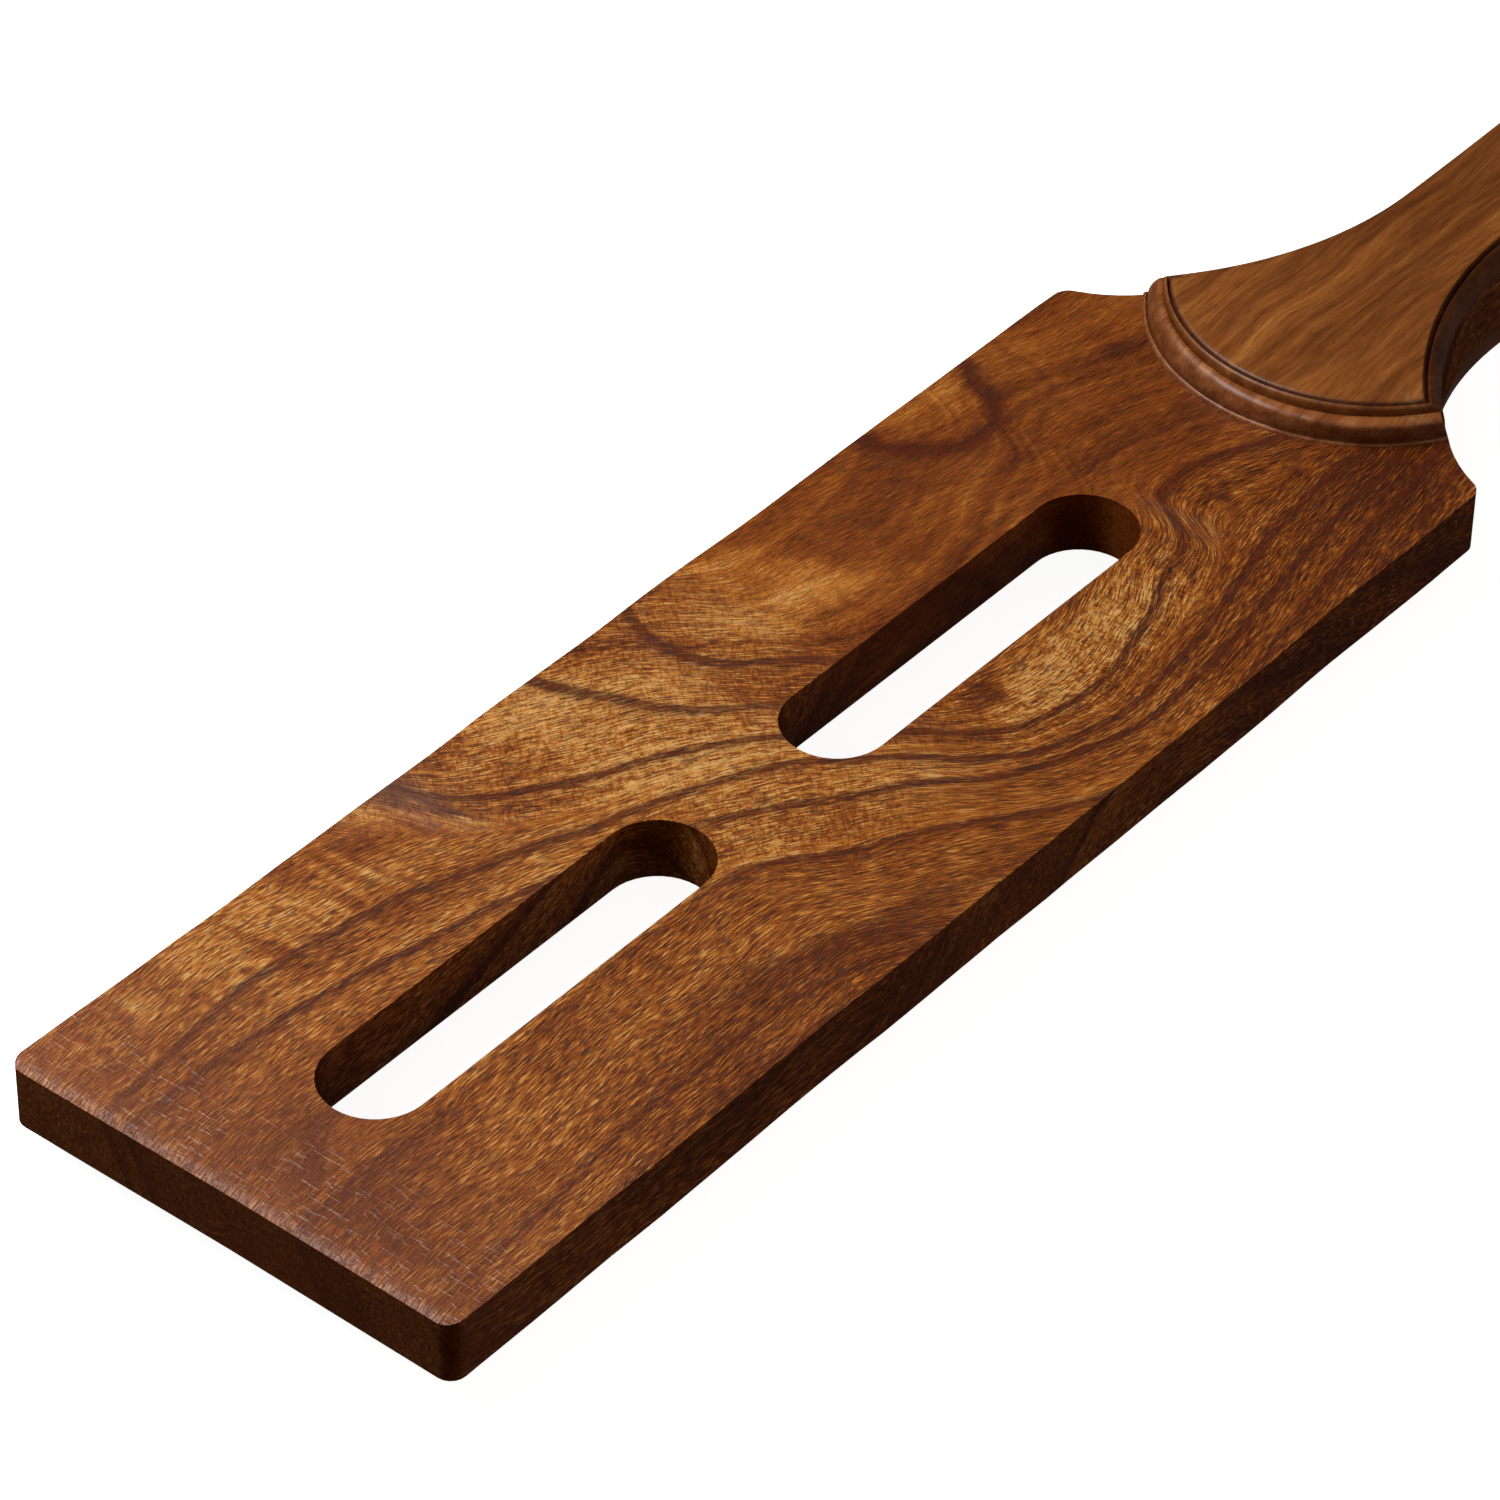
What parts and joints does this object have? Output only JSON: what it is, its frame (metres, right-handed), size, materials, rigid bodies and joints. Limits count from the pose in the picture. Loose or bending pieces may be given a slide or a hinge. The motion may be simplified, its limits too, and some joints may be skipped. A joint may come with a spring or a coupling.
{
  "type": "slotted wooden paddle",
  "caption": "Flat hardwood paddle with two long slots through the blade and a carved, beaded neck running into a flat-faced grip.",
  "frame": {"origin": "middle of the paddle's box, on its mid-plane and centre line", "axes": "+X along the paddle from the blade's square end towards the butt, +Y across the blade, +Z out of the front face"},
  "size_m": [0.44, 0.09, 0.0244],
  "materials": {
    "board_wood": "oiled, satin, strongly figured reddish-brown hardwood",
    "cheek_wood": "oiled, satin, streaked orange-brown hardwood",
    "bead_wood": "oiled, satin, reddish-brown hardwood",
    "dowel_wood": "plain beech, glued in"
  },
  "bodies": {
    "root": {"blade_board": "board_wood", "front_cheek": "cheek_wood", "back_cheek": "cheek_wood", "front_bead": "bead_wood", "back_bead": "bead_wood", "neck_dowel_left": "dowel_wood", "neck_dowel_right": "dowel_wood", "grip_dowel": "dowel_wood", "butt_dowel": "dowel_wood"}
  },
  "joints": []
}
